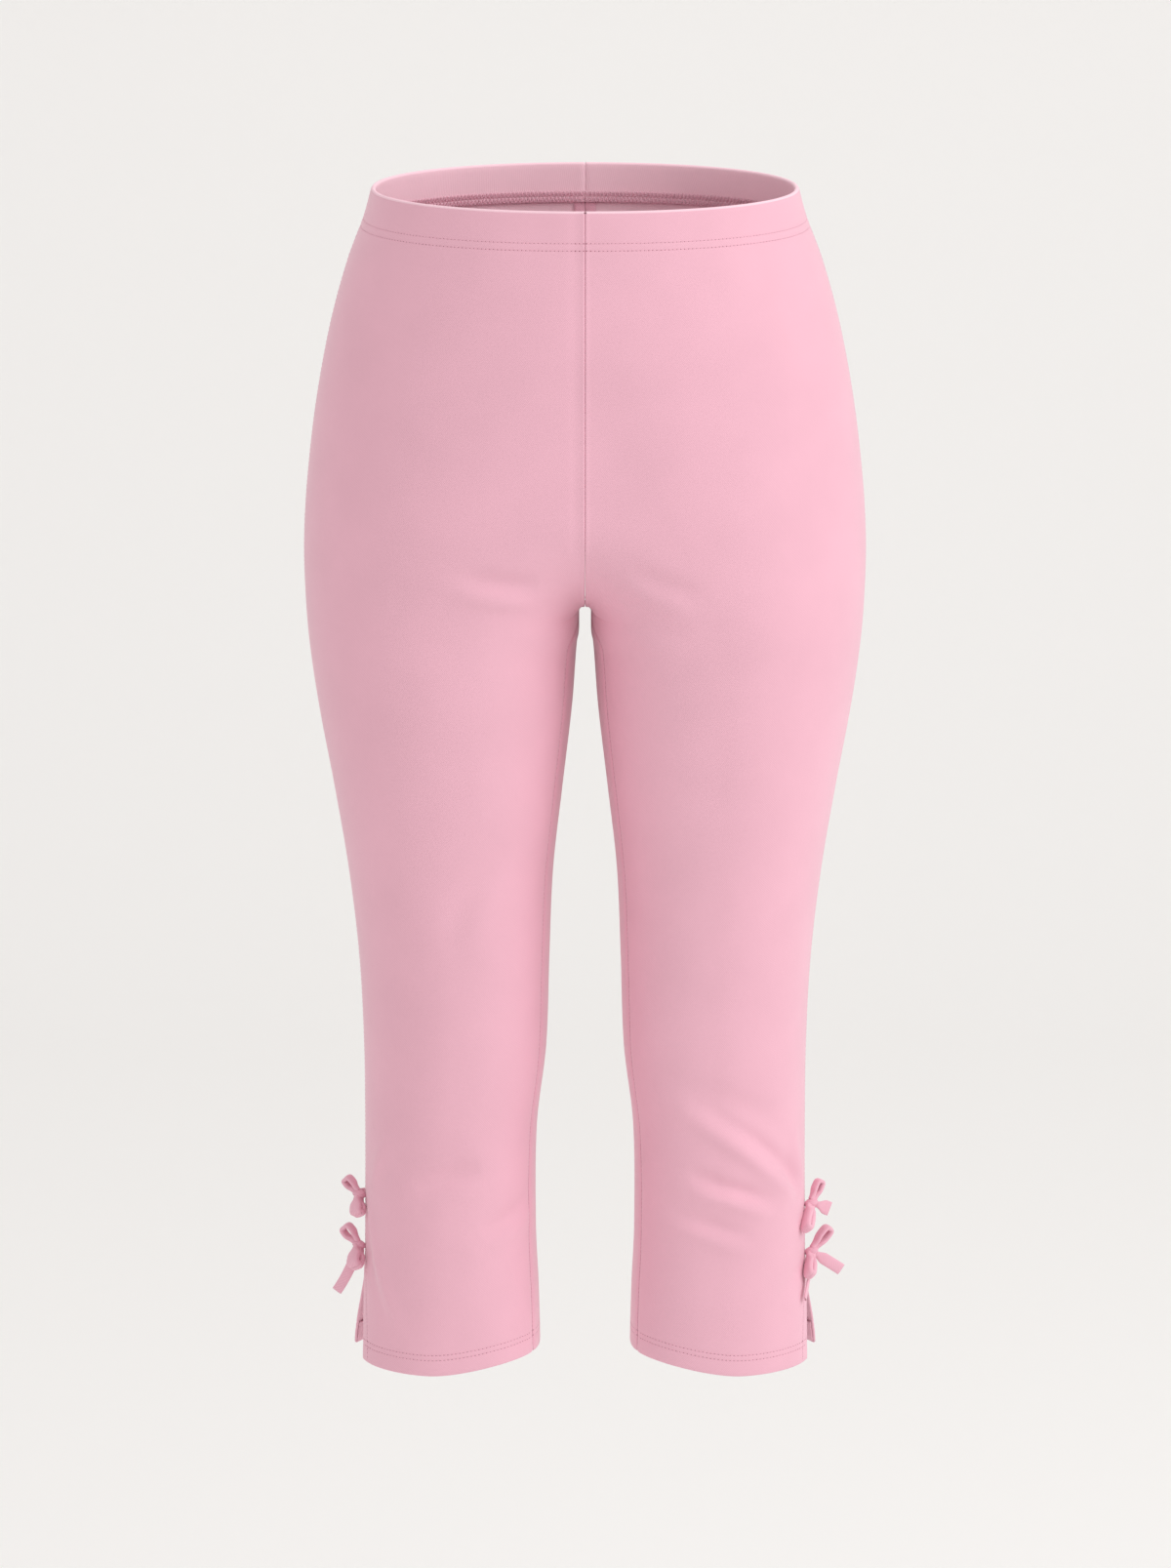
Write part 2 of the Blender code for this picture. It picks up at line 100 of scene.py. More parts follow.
SIDES = {"left": 1, "right": -1}
FACES = {"front": -1, "back": 1}

# ---------------------------------------------------------------- sizes of the fine cloth
CLOTH = 0.0007                # wall of the knit
WALE_LINE = 0.085             # distance from the middle at which the knit runs straight down
SEAM_ROLL = 0.0009            # radius at which a panel turns in at a seam
WAIST_ROLL = 0.0015           # the same over the elastic at the waist
HEM_ROLL = 0.0011             # the same at the leg hem
SEAM_GAP = 0.00022            # the rolled edges almost touch
SEAM_HOLD = 0.94              # share of the roll by which the waist's turned-in layer closes a seam
CASING_DEPTH = 0.0280
HEM_DEPTH = 0.0155
HEM_ROOM = 0.0007             # extra room over the turned-up hem where it meets a turned-in seam
HEM_ROOM_WIDTH = 0.0075
WAIST_EDGE = 0.0019           # drop of the finished waist edge
WAIST_ROWS = (0.0222, 0.0269)           # drops of the stitch rows at the waist
HEM_ROWS = (0.0145, 0.0110)             # stitch rows above the leg's bottom edge
LOOPER_ROWS = (0.0202, 0.0240, 0.0277)  # drops of the edges and the middle of the looper threads
SLIT_ROW = 0.0085             # stitch row beside the slit
STITCH_PITCH = 0.0026
STITCH_GAP = 0.00035          # from a needle hole to the thread on either side
STITCH_RISE = 0.00010
THREAD_RADIUS = 0.00016
LOOPER_RISE = 0.00006
LOOPER_RADIUS = 0.00034
# radius of the strokes of painted shade in the seam grooves
SEAM_GROOVE_SHADE_RADIUS = 0.0005
HOLE_RADIUS = 0.00050
EDGE_STEPS = (0.0, 0.0006, 0.0013, 0.0022, 0.0033, 0.0046, 0.0062)
INTERIOR = 78                 # columns between the edge columns
ROW_STEP = 0.0030
FINE_STEP = 0.0007            # row step across the stitch rows
CROTCH_STEPS = (0.0002, 0.0006, 0.0012, 0.0020, 0.0030, 0.0042, 0.0056, 0.0074, 0.0096)
ROLL_ANGLES = (30, 60, 90, 120, 150, 180)
FLAP_STEP = 0.0008            # step of the knit's pattern round a turned-in edge
TURN_STEP = 0.0005            # the same where it is turned over at the waist or up at the hem

# Soft relief of the cloth: how high it stands or how deep it lies, and over what width.
Relief = namedtuple("Relief", "height width")
CENTRE_RIDGE = Relief(0.00028, 0.0011)
CENTRE_DIP = Relief(0.00030, 0.0030)
CENTRE_DIP_PLACE = 0.0052     # from the centre seam, on the right front only
SIDE_RIDGE = Relief(0.00018, 0.0012)
INSEAM_DIP = Relief(0.00050, 0.0015)
ROW_DIP = Relief(0.00016, 0.0009)
SLIT_ROW_DIP = Relief(0.00012, 0.0009)


def smoothstep(value):
    """0 below 0, 1 above 1, and a smooth step between."""
    value = np.clip(value, 0.0, 1.0)
    return value * value * (3.0 - 2.0 * value)


def section_at(drops):
    """The section table at an array of drops, one column of the result for each of its columns."""
    drops = np.clip(np.atleast_1d(drops), TABLE[0, 0], TABLE[-1, 0])
    last = len(TABLE) - 1
    low = np.clip(np.searchsorted(TABLE[:, 0], drops, "right") - 1, 0, last - 1)
    before, start, end, after = (TABLE[np.clip(low + k, 0, last)] for k in (-1, 0, 1, 2))
    span = (end[:, 0] - start[:, 0])[:, None]
    t = (drops[:, None] - start[:, :1]) / span
    slope_b = (end - before) / np.maximum(end[:, :1] - before[:, :1], 1e-6)
    slope_c = (after - start) / np.maximum(after[:, :1] - start[:, :1], 1e-6)
    value = ((2 * t**3 - 3 * t**2 + 1) * start + (t**3 - 2 * t**2 + t) * span * slope_b
             + (3 * t**2 - 2 * t**3) * end + (t**3 - t**2) * span * slope_c)
    return dict(zip(Section._fields, value.T))


def seam_reach(drops, reach, curve_height, power):
    """How far the centre seam stands from the middle: fully above the curve, not at all at the crotch."""
    t = np.clip((drops - (CROTCH_DROP - curve_height)) / curve_height, 0.0, 1.0)
    return reach * (1.0 - t**power)**(1.0 / power)


INNER_POINTS = 150
OUTER_POINTS = 260


def row_curves(drops, face):
    """The section curve at each drop, from the inner seam to the side line, and the lengths along it."""
    row = section_at(drops)
    inner = SEAM_GAP / 2 + row["inner"] * smoothstep((drops - CROTCH_DROP) / INNER_FADE)
    t = np.clip((drops - CROTCH_DROP) / BRIDGE_ROUND, 0.0, 1.0)
    arch = np.maximum(0.0, ARCH_WIDTH - inner)
    middle = FACES[face] * row["middle"]
    if face == "front":
        reach, crest = row["front"], row["front_crest"]
        seam = seam_reach(drops, reach, FRONT_CURVE, FRONT_CURVE_POWER)
    else:
        reach, crest = row["back"], row["back_crest"]
        seam = seam_reach(drops, reach, BACK_CURVE, BACK_CURVE_POWER)
    seam = np.where(drops >= CROTCH_DROP, middle, seam)
    crest = np.maximum(crest, inner)
    share = (seam - middle) / (reach - middle)
    held = (share**SADDLE)[:, None]
    arch = (arch * (1 - share)**2)[:, None]
    at_seam = arch * np.sqrt(1 - (1 - t)**2)[:, None]
    a = np.linspace(0, math.pi / 2, INNER_POINTS, endpoint=False)[None, :]
    x_in = inner[:, None] + (crest - inner)[:, None] * (1 - np.cos(a)**(2 / INNER_LEG_ROUNDNESS))
    near = np.exp(-(a / 0.09)**2)
    x_in = x_in + (at_seam * near + arch * (1 - near)) * np.cos(a)**8
    leg = np.sin(a)**(2 * SADDLE / INNER_LEG_ROUNDNESS)
    y_in = middle[:, None] + (reach - middle)[:, None] * (leg + held * (1 - leg))**(1 / SADDLE)
    b = np.linspace(0, math.pi / 2, OUTER_POINTS)[None, :]
    x_out = crest[:, None] + (row["outer"] - crest)[:, None] * np.sin(b)**(2 / ROUNDNESS)
    y_out = middle[:, None] + (reach - middle)[:, None] * np.maximum(0.0, np.cos(b))**(2 / ROUNDNESS)
    x = np.hstack([x_in, x_out])
    y = np.hstack([y_in, y_out]) * FACES[face]
    steps = np.hypot(np.diff(x, axis=1), np.diff(y, axis=1))
    lengths = np.hstack([np.zeros((len(drops), 1)), np.cumsum(steps, axis=1)])
    return x, y, lengths, row


def slit_open(drops):
    """0 where the slit is tied shut, 1 at the hem."""
    t = (drops - SLIT_TIED) / (HEM_DROP - SLIT_TIED)
    return np.sin(math.pi / 2 * np.clip(t, 0.0, 1.0))


def slit_flare(drops):
    """How far the back edge kicks out, slowly at first."""
    return SLIT_FLARE * smoothstep((drops - SLIT_TIED - 0.006) / (HEM_DROP - SLIT_TIED - 0.006))


def hem_rise(drops, x):
    """How much higher a point of the leg is because the hem climbs towards the inseam."""
    row = section_at(drops)
    middle = ((row["inner"] + row["outer"]) / 2)[:, None]
    share = (middle - x) / (middle - row["inner"][:, None])
    down = smoothstep((drops - HEM_RISE_TOP) / (HEM_DROP - HEM_RISE_TOP))[:, None]
    return HEM_RISE * smoothstep((share + 0.3) / 1.3) * down


def inseam_shift(drops):
    """How far forward of the leg's innermost line the inseam runs, along the section's curve."""
    x, y, lengths, row = row_curves(drops, "front")
    share = INSEAM_SHARE * np.sin(math.pi / 2 * np.clip((drops - CROTCH_DROP) / INSEAM_RUN, 0.0, 1.0))
    goal = row["middle"] - share * (row["front"] + row["middle"])
    found = [np.interp(-goal[i], -y[i, :INNER_POINTS], lengths[i, :INNER_POINTS]) for i in range(len(drops))]
    return np.where(drops > CROTCH_DROP, found, 0.0)


def panel_sheet(side, face, drops):
    """Points of a panel's outer surface, rows by columns, with each column's distance along its row."""
    x, y, lengths, _ = row_curves(drops, face)
    shift = inseam_shift(drops)
    crest = lengths[:, INNER_POINTS]
    if face == "back":
        lead_x, lead_y, lead, _ = row_curves(drops, "front")
        x = np.hstack([lead_x[:, INNER_POINTS - 1:0:-1], x])
        y = np.hstack([np.where(shift[:, None] > 0, lead_y[:, INNER_POINTS - 1:0:-1], y[:, :1]), y])
        lengths = np.hstack([-lead[:, INNER_POINTS - 1:0:-1], lengths])
        shift = -shift
    start = np.where(drops >= CROTCH_DROP, SEAM_GAP / 2, 0.0) + SEAM_ROLL + shift
    opened = slit_open(drops)
    stand_back = SLIT_FRONT if face == "front" else SLIT_BACK
    end = lengths[:, -1] - SEAM_GAP / 2 - stand_back * opened - SEAM_ROLL
    edge = EDGE_STEPS[-1]
    inner_start, outer_end = start + edge, end - edge
    whole = (outer_end - inner_start)[:, None]
    to_crest = (crest - inner_start)[:, None]
    share = (np.arange(1, INTERIOR + 1) / (INTERIOR + 1))[None, :]
    held = np.where(share < CREST_SHARE, to_crest * share / CREST_SHARE,
                    to_crest + (whole - to_crest) * (share - CREST_SHARE) / (1 - CREST_SHARE))
    grip = smoothstep((drops - 0.10) / 0.10)[:, None]
    interior = inner_start[:, None] + share * whole + grip * (held - share * whole)
    steps = np.array(EDGE_STEPS)[None, :]
    places = np.hstack([start[:, None] + steps, interior, end[:, None] - steps[:, ::-1]])
    px = np.array([np.interp(places[i], lengths[i], x[i]) for i in range(len(drops))])
    py = np.array([np.interp(places[i], lengths[i], y[i]) for i in range(len(drops))])
    share_all = (places - start[:, None]) / (end - start)[:, None]
    flare = slit_flare(drops) if face == "back" else SLIT_FRONT_FLARE * opened
    px = px + flare[:, None] * smoothstep((share_all - 0.72) / 0.28)
    tilt = (WAIST_TILT * (1 - smoothstep(drops / TILT_FADE)))[:, None]
    height = tilt * py + hem_rise(drops, px)
    points = np.stack([SIDES[side] * px, py, height - drops[:, None]], axis=2)
    return points, places


def sheet_normals(points, side, face):
    """Unit normals that face out of the garment."""
    along = np.gradient(points, axis=1)
    down = np.gradient(points, axis=0)
    normal = np.cross(down, along)
    normal /= np.maximum(np.linalg.norm(normal, axis=2, keepdims=True), 1e-12)
    return normal * (-SIDES[side] * FACES[face])


def panel_drops():
    """Drops of the fine rows: even ones, with rows that follow the crotch curve between them."""
    top = CROTCH_DROP - FRONT_CURVE
    torso = np.linspace(WAIST_EDGE + WAIST_ROLL, top, int(top / ROW_STEP), endpoint=False)
    casing = np.arange(LOOPER_ROWS[0], 0.0290, FINE_STEP)
    torso = np.concatenate([torso[torso < 0.0198], casing, torso[torso > 0.0292]])
    curve = top + FRONT_CURVE * np.sin(np.linspace(0, math.pi / 2, 34))
    below = CROTCH_DROP + np.array(CROTCH_STEPS)
    legs = np.linspace(below[-1], HEM_DROP - HEM_ROLL, int((HEM_DROP - below[-1]) / ROW_STEP))[1:]
    hem = HEM_DROP - np.arange(0.0163, 0.0090, -FINE_STEP)
    legs = np.concatenate([legs[legs < hem[0] - 0.0004], hem, legs[legs > hem[-1] + 0.0004]])
    return np.concatenate([torso, curve, below, legs])


# ---------------------------------------------------------------- folds
# Each fold is a soft trough along a few points on a panel. A point is a share of the way from the inner seam
# to the side, and a drop. The ridge is the share of its depth that the lower edge stands up.
Fold = namedtuple("Fold", "side face width depth ridge points")
FOLDS = [
    Fold("left", "front", 0.0110, 0.0024, 0.4, [(0.26, 0.585), (0.53, 0.600), (0.78, 0.631)]),
    Fold("left", "front", 0.0062, 0.0040, 0.7, [(0.34, 0.597), (0.56, 0.622), (0.73, 0.645), (0.85, 0.662)]),
    Fold("left", "front", 0.0046, 0.0016, 0.6, [(0.27, 0.643), (0.42, 0.648)]),
    Fold("left", "front", 0.0052, 0.0032, 0.8, [(0.29, 0.650), (0.48, 0.655), (0.66, 0.667)]),
    Fold("left", "front", 0.0056, 0.0021, 0.6, [(0.20, 0.673), (0.385, 0.680), (0.56, 0.689)]),
    Fold("left", "front", 0.0060, -0.0021, 0.4, [(0.90, 0.668), (0.84, 0.650), (0.78, 0.622)]),
    Fold("left", "front", 0.0070, 0.0011, 0.5, [(0.70, 0.735), (0.80, 0.722), (0.93, 0.713)]),
    Fold("left", "front", 0.0070, 0.0020, 0.6, [(0.11, 0.235), (0.20, 0.243), (0.31, 0.250)]),
    Fold("left", "front", 0.0080, 0.0011, 0.5, [(0.14, 0.262), (0.30, 0.272), (0.42, 0.276)]),
    Fold("right", "front", 0.0068, 0.0026, 0.7, [(0.13, 0.246), (0.22, 0.244), (0.34, 0.239)]),
    Fold("right", "front", 0.0080, 0.0026, 0.6, [(0.28, 0.640), (0.42, 0.646), (0.56, 0.657)]),
    Fold("right", "front", 0.0072, 0.0026, 0.6, [(0.03, 0.668), (0.15, 0.678), (0.28, 0.688)]),
    Fold("right", "front", 0.0055, -0.0020, 0.4, [(0.88, 0.672), (0.78, 0.712), (0.70, 0.752)]),
    Fold("right", "front", 0.0060, -0.0015, 0.4, [(0.70, 0.624), (0.76, 0.640), (0.84, 0.660)]),
    Fold("right", "front", 0.0100, 0.0013, 0.5, [(0.20, 0.420), (0.34, 0.450), (0.44, 0.490)]),
    Fold("left", "back", 0.0100, 0.0024, 0.5, [(0.26, 0.520), (0.50, 0.530), (0.76, 0.545)]),
    Fold("left", "back", 0.0080, 0.0014, 0.5, [(0.32, 0.556), (0.52, 0.560), (0.68, 0.570)]),
    Fold("right", "back", 0.0100, 0.0024, 0.5, [(0.28, 0.530), (0.52, 0.516), (0.78, 0.508)]),
    Fold("right", "back", 0.0080, 0.0012, 0.5, [(0.36, 0.566), (0.54, 0.556), (0.70, 0.552)]),
    Fold("left", "back", 0.0090, 0.0016, 0.5, [(0.20, 0.268), (0.38, 0.288), (0.62, 0.286)]),
    Fold("right", "back", 0.0090, 0.0015, 0.5, [(0.18, 0.272), (0.36, 0.284), (0.58, 0.280)]),
    Fold("left", "back", 0.0070, 0.0009, 0.5, [(0.24, 0.302), (0.40, 0.312), (0.54, 0.308)]),
]


def cloth_point(side, face, share, drop):
    """A point of a panel, at a share of the way from its inner seam to its side edge."""
    points, places = panel_sheet(side, face, np.array([drop]))
    place = places[0, 0] + share * (places[0, -1] - places[0, 0])
    return np.array([np.interp(place, places[0], points[0, :, k]) for k in range(3)])


def smooth_path(points, steps):
    """A curve through a few points."""
    points = [np.asarray(p, float) for p in points]
    path = []
    for k in range(len(points) - 1):
        a, b, c, d = (points[min(max(k + j, 0), len(points) - 1)] for j in (-1, 0, 1, 2))
        for i in range(steps):
            t = i / steps
            path.append(0.5 * (2 * b + (c - a) * t + (2 * a - 5 * b + 4 * c - d) * t**2
                               + (3 * b - a - 3 * c + d) * t**3))
    path.append(points[-1])
    return np.array(path)


def fold_height(side, points):
    """How far the folds of one leg move each point of a sheet outwards."""
    flat = points.reshape(-1, 3)
    height = np.zeros(len(flat))
    for fold in FOLDS:
        if fold.side != side:
            continue
        path = smooth_path([cloth_point(side, fold.face, *p) for p in fold.points], 8)
        near = np.full(len(flat), 1e9)
        where = np.zeros(len(flat))
        below = np.zeros(len(flat))
        for k in range(len(path) - 1):
            run = path[k + 1] - path[k]
            t = np.clip((flat - path[k]) @ run / (run @ run), 0.0, 1.0)
            gap = flat - path[k] - t[:, None] * run
            away = np.linalg.norm(gap, axis=1)
            closer = away < near
            near = np.where(closer, away, near)
            where = np.where(closer, (k + t) / (len(path) - 1), where)
            below = np.where(closer, -gap[:, 2], below)
        taper = np.sin(math.pi * (0.06 + 0.88 * where))**1.2
        trough = np.exp(-(near / fold.width)**2)
        signed = np.sign(below) * near
        ridge = np.exp(-((signed - 1.7 * fold.width) / fold.width)**2)
        height += fold.depth * taper * (fold.ridge * ridge - trough)
    return height.reshape(points.shape[:2])


# ---------------------------------------------------------------- materials
def node(tree, kind, **inputs):
    """A new shader node with some of its inputs set."""
    made = tree.nodes.new(kind)
    for key, value in inputs.items():
        made.inputs[key].default_value = value
    return made


def knit_material(name, colour, shade, roughness=0.82, sheen=0.55, rib=1.0):
    """Fine diagonal-ribbed stretch knit. The rib and its grain run in the sheet's own metres."""
    material = bpy.data.materials.new(name)
    material.use_nodes = True
    tree = material.node_tree
    link = tree.links.new
    shader = tree.nodes["Principled BSDF"]
    feel = {"Roughness": roughness, "Sheen Weight": sheen, "Sheen Roughness": 0.45,
            "Sheen Tint": (1.0, 0.86, 0.90, 1.0), "Specular IOR Level": 0.30}
    for socket, value in feel.items():
        shader.inputs[socket].default_value = value
    where = tree.nodes.new("ShaderNodeTexCoord")

    turn = node(tree, "ShaderNodeMapping", Rotation=(0.0, 0.0, math.radians(38)))
    link(where.outputs["UV"], turn.inputs["Vector"])
    ribs = node(tree, "ShaderNodeTexWave", Scale=320.0, Distortion=1.5, Detail=1.0)
    ribs.wave_type = "BANDS"
    ribs.bands_direction = "X"
    link(turn.outputs["Vector"], ribs.inputs["Vector"])
    grain = node(tree, "ShaderNodeTexNoise", Scale=1500.0, Detail=2.0, Roughness=0.6)
    link(where.outputs["UV"], grain.inputs["Vector"])
    cloud = node(tree, "ShaderNodeTexNoise", Scale=22.0, Detail=2.0, Roughness=0.5)
    link(where.outputs["Object"], cloud.inputs["Vector"])

    mixed = tree.nodes.new("ShaderNodeMix")
    mixed.data_type = "FLOAT"
    mixed.inputs[0].default_value = 0.45
    link(ribs.outputs["Fac"], mixed.inputs[2])
    link(grain.outputs["Fac"], mixed.inputs[3])

    # The colour follows the same height as the bump: the rib's low parts take the shade colour, which paints
    # shade into its hollows over the knit's own grain.
    tone = tree.nodes.new("ShaderNodeMix")
    tone.data_type = "RGBA"
    tone.inputs[6].default_value = shade
    tone.inputs[7].default_value = colour
    spread = node(tree, "ShaderNodeMapRange", **{"From Min": 0.15, "From Max": 0.85})
    link(mixed.outputs[0], spread.inputs["Value"])
    link(spread.outputs["Result"], tone.inputs[0])

    drift = tree.nodes.new("ShaderNodeMix")
    drift.data_type = "RGBA"
    drift.blend_type = "MULTIPLY"
    drift.inputs[0].default_value = 1.0
    limits = {"From Min": 0.3, "From Max": 0.7, "To Min": 0.975, "To Max": 1.015}
    pale = node(tree, "ShaderNodeMapRange", **limits)
    link(cloud.outputs["Fac"], pale.inputs["Value"])
    link(tone.outputs[2], drift.inputs[6])
    link(pale.outputs["Result"], drift.inputs[7])
    link(drift.outputs[2], shader.inputs["Base Color"])

    bump = node(tree, "ShaderNodeBump", Strength=0.55 * rib, Distance=0.00018)
    link(mixed.outputs[0], bump.inputs["Height"])
    link(bump.outputs["Normal"], shader.inputs["Normal"])
    return material


PINK = (0.880, 0.500, 0.600, 1.0)
PINK_SHADE = (0.800, 0.425, 0.525, 1.0)
# The wrong side of the knit. Painted light: it is paler than the right side to stand for the light that
# reaches inside the garment.
INSIDE_PAINTED_LIGHT = (1.000, 0.720, 0.790, 1.0)
INSIDE_PAINTED_LIGHT_SHADE = (0.960, 0.660, 0.740, 1.0)
CASING_PAINTED_LIGHT = (1.000, 0.690, 0.770, 1.0)           # painted light: the waist's lining made paler for the light that falls into it
CASING_PAINTED_LIGHT_SHADE = (0.960, 0.630, 0.720, 1.0)
THREAD = (0.880, 0.520, 0.620, 1.0)
# Painted shade: the needle holes are dark only for the shade in them.
HOLE_PAINTED_SHADE = (0.30, 0.07, 0.12, 1.0)
# Painted shade: the dark line at the bottom of the seam grooves.
SEAM_GROOVE_SHADE = (0.62, 0.24, 0.34, 1.0)


def plain_material(name, colour, roughness):
    """Thread colour, or the painted shade of needle holes and seam grooves, with a fine grain."""
    material = bpy.data.materials.new(name)
    material.use_nodes = True
    tree = material.node_tree
    shader = tree.nodes["Principled BSDF"]
    shader.inputs["Roughness"].default_value = roughness
    where = tree.nodes.new("ShaderNodeTexCoord")
    grain = node(tree, "ShaderNodeTexNoise", Scale=2500.0, Detail=1.0)
    tree.links.new(where.outputs["Object"], grain.inputs["Vector"])
    ramp = tree.nodes.new("ShaderNodeMix")
    ramp.data_type = "RGBA"
    ramp.inputs[6].default_value = tuple(0.85 * c for c in colour[:3]) + (1.0,)
    ramp.inputs[7].default_value = colour
    tree.links.new(grain.outputs["Fac"], ramp.inputs[0])
    tree.links.new(ramp.outputs[2], shader.inputs["Base Color"])
    return material


MATERIALS = {
    "outside": knit_material("pink_knit", PINK, PINK_SHADE),
    # painted light: the inside of the cloth is paler for the light inside the garment
    "inside": knit_material("pink_knit_inside_painted_light", INSIDE_PAINTED_LIGHT, INSIDE_PAINTED_LIGHT_SHADE, sheen=0.2),
    # painted light: the casing's lining is paler for the light that falls into the waist
    "casing": knit_material("pink_knit_casing_painted_light", CASING_PAINTED_LIGHT, CASING_PAINTED_LIGHT_SHADE, sheen=0.2),
    "tie": knit_material("pink_knit_tie", PINK, PINK_SHADE, rib=0.8),
    "thread": plain_material("pink_thread", THREAD, 0.6),
    # painted shade for the needle holes
    "hole": plain_material("needle_hole_painted_shade", HOLE_PAINTED_SHADE, 0.9),
    # painted shade for the bottom of the seam grooves
    "seam": plain_material("seam_groove_shade", SEAM_GROOVE_SHADE, 0.9),
}


# ---------------------------------------------------------------- panels
def add_piece(name, mesh, materials):
    """An object of the scene, with the materials of those names."""
    piece = bpy.data.objects.new(name, mesh)
    for material in materials:
        piece.data.materials.append(MATERIALS[material])
    bpy.context.scene.collection.objects.link(piece)
    return piece


def turned(points, normal, tangent, roll, angle):
    """A point rolled over an edge: 0 is on the surface, 180 has turned right under it."""
    a = math.radians(angle)
    return points + normal * (roll * (math.cos(a) - 1)) + tangent * (roll * math.sin(a))


def unit(vectors):
    return vectors / np.maximum(np.linalg.norm(vectors, axis=-1, keepdims=True), 1e-12)


def relief(form, away):
    """Height of a soft ridge at a distance from its middle line."""
    return form.height * np.exp(-(away / form.width)**2)


def panel_surface(side, face):
    """The finished outer surface of a panel, with its folds and seam relief, its normals and its places."""
    drops = panel_drops()
    points, places = panel_sheet(side, face, drops)
    normal = sheet_normals(points, side, face)
    height = fold_height(side, points)
    from_inner = places - places[:, :1]
    from_side = places[:, -1:] - places
    height += relief(CENTRE_RIDGE, from_inner) * (drops < CROTCH_DROP)[:, None]
    if face == "front" and side == "right":
        height -= relief(CENTRE_DIP, from_inner - CENTRE_DIP_PLACE) * (drops < CROTCH_DROP - 0.05)[:, None]
    height += relief(SIDE_RIDGE, from_side)
    height -= relief(INSEAM_DIP, from_inner) * (drops >= CROTCH_DROP)[:, None]
    for row in WAIST_ROWS + tuple(HEM_DROP - value for value in HEM_ROWS):
        height -= relief(ROW_DIP, drops[:, None] - row)
    below_tie = smoothstep((drops - SLIT_TIED) / 0.006)[:, None]
    height -= relief(SLIT_ROW_DIP, from_side - SLIT_ROW) * below_tie
    points = points + normal * height[:, :, None]
    return drops, points, sheet_normals(points, side, face), places


def seam_flaps(main, normal, left_tangent, right_tangent):
    """The columns that roll in at a panel's two edges and lie flat inside, from left to right."""
    flap = len(EDGE_STEPS) - 1
    before = [main[:, k] - normal[:, k] * 2 * SEAM_ROLL for k in range(flap, 0, -1)]
    before += [turned(main[:, 0], normal[:, 0], left_tangent, SEAM_ROLL, a) for a in reversed(ROLL_ANGLES)]
    after = [turned(main[:, -1], normal[:, -1], right_tangent, SEAM_ROLL, a) for a in ROLL_ANGLES]
    after += [main[:, -1 - k] - normal[:, -1 - k] * 2 * SEAM_ROLL for k in range(1, flap + 1)]
    return before, after


def waist_layer(drops, main, normal, left_tangent, right_tangent):
    """The rows that roll over the waist's edge and come down inside as the casing."""
    up = unit(main[0] - main[1])
    inner_rows = [k for k in range(1, len(drops)) if drops[k] < CASING_DEPTH]
    layer = [turned(main[0], normal[0], up, WAIST_ROLL, a) for a in ROLL_ANGLES]
    layer += [main[k] - normal[k] * 2 * WAIST_ROLL for k in inner_rows]
    for step, row in enumerate(layer):
        k = 0 if step < len(ROLL_ANGLES) else inner_rows[step - len(ROLL_ANGLES)]
        spread = SEAM_HOLD * SEAM_ROLL * min(1.0, (step + 1) / len(ROLL_ANGLES))
        row[0] += left_tangent[k] * spread
        row[-1] += right_tangent[k] * spread
    return layer


def hem_layer(drops, main, normal, places):
    """The rows that roll under the leg's bottom edge and go up inside."""
    down = unit(main[-1] - main[-2])
    from_edge = np.minimum(places[-1] - places[-1, 0], places[-1, -1] - places[-1])
    room = HEM_ROOM * (1 - smoothstep((from_edge - HEM_ROOM_WIDTH) / 0.003))
    hem_rows = [k for k in range(len(drops) - 2, 0, -1) if HEM_DROP - drops[k] < HEM_DEPTH]
    layer = [turned(main[-1], normal[-1], down, HEM_ROLL, a) for a in ROLL_ANGLES]
    layer += [main[k] - normal[k] * (2 * HEM_ROLL + room[:, None]) for k in hem_rows]
    return layer


def quads(grid):
    """The faces between the rows and columns of a grid of vertex numbers."""
    corners = [grid[:-1, :-1], grid[1:, :-1], grid[1:, 1:], grid[:-1, 1:]]
    return np.stack(corners, axis=-1).reshape(-1, 4)


def knit_coordinates(drops, main, places, before, after, top, bottom):
    """Where each vertex lies in the flat knit, in metres, with the wales straight down at the wale line."""
    wale_line = [np.interp(WALE_LINE, np.abs(main[i, :, 0]), places[i]) for i in range(len(drops))]
    wales = places - np.array(wale_line)[:, None]
    to_left = np.arange(before, 0, -1)[None, :] * FLAP_STEP
    to_right = np.arange(1, after + 1)[None, :] * FLAP_STEP
    u_body = np.concatenate([wales[:, :1] - to_left, wales, wales[:, -1:] + to_right], axis=1)
    v_body = np.repeat(-drops[:, None], u_body.shape[1], axis=1)
    columns = main.shape[1]
    v_top = np.concatenate([TURN_STEP * (k + 1) * np.ones(columns) for k in range(top)])
    v_bottom = np.concatenate([-HEM_DROP - TURN_STEP * (k + 1) * np.ones(columns) for k in range(bottom)])
    u = np.concatenate([u_body.ravel(), np.tile(wales[0], top), np.tile(wales[-1], bottom)])
    v = np.concatenate([v_body.ravel(), v_top, v_bottom])
    return u, v


